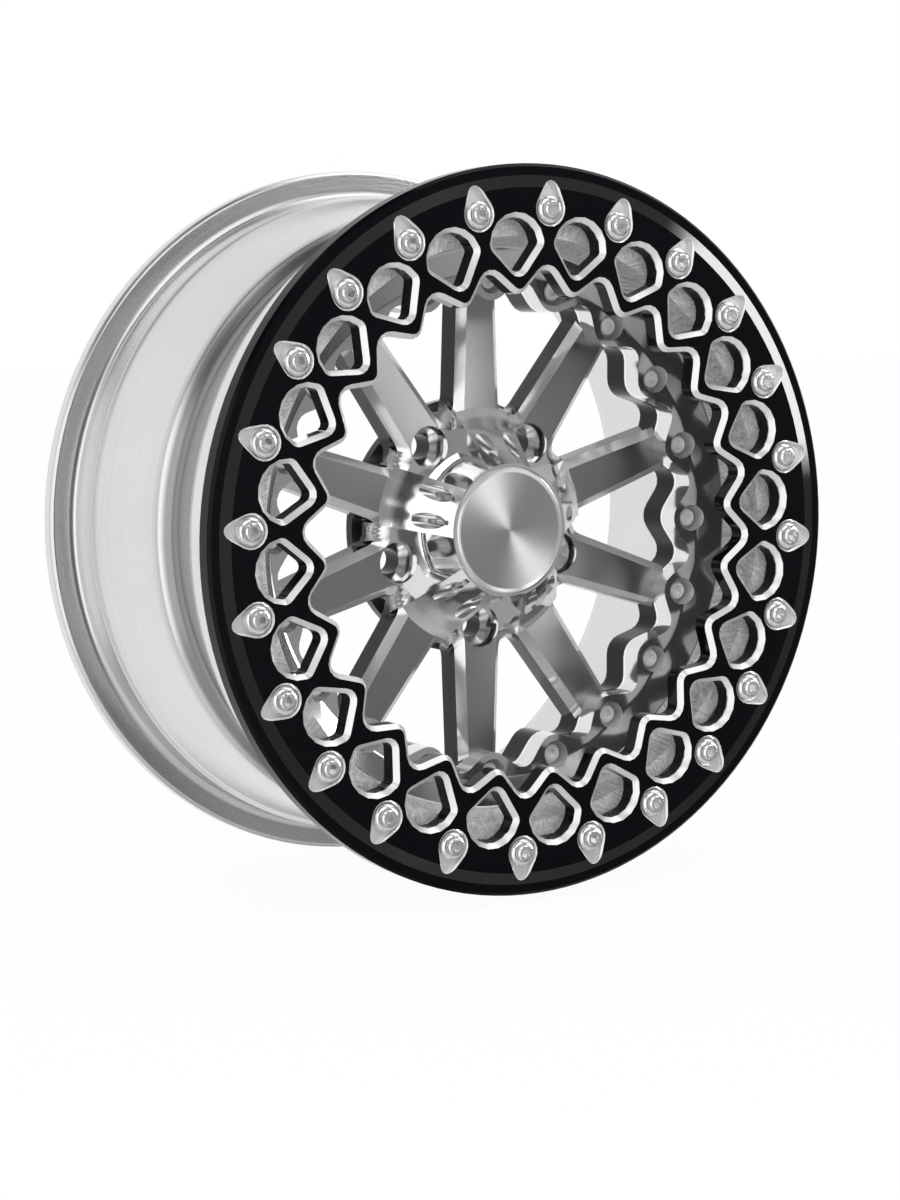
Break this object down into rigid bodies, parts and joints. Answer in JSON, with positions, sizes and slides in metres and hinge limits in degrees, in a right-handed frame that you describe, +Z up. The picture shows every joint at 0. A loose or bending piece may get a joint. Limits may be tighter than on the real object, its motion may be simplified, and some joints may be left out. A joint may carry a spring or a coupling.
{
  "type": "beadlock wheel",
  "caption": "Bolted wheel with a milled spoke centre, a deep barrel and an outer clamp ring with windows that locks the tyre's bead.",
  "frame": {"origin": "centre of the face that meets the vehicle's hub", "axes": "+Y along the axle towards the vehicle, so the street side faces -Y; Z up; one stud hole straight down"},
  "size_m": [0.4119, 0.2037, 0.412],
  "materials": {
    "barrel": "satin",
    "centre": "machined satin",
    "ring": "gloss black anodised",
    "clamp_bolt": "polished",
    "centre_bolt": "polished",
    "steel": "plain",
    "cap": "satin with a polished bevel",
    "rubber": "matte",
    "valve": "plated",
    "brass": "plain",
    "plastic": "matte"
  },
  "bodies": {
    "root": {"barrel": "barrel", "wheel_centre": "centre", "beadlock_ring": "ring", "beadlock_bolts": "clamp_bolt", "thread_inserts": "steel", "centre_bolts": "centre_bolt", "centre_cap": "cap", "cap_o_ring": "rubber", "valve_stem": "valve", "valve_seal": "rubber", "valve_washer": "steel", "valve_nut": "steel", "valve_core": "brass", "valve_cap": "plastic"}
  },
  "joints": []
}
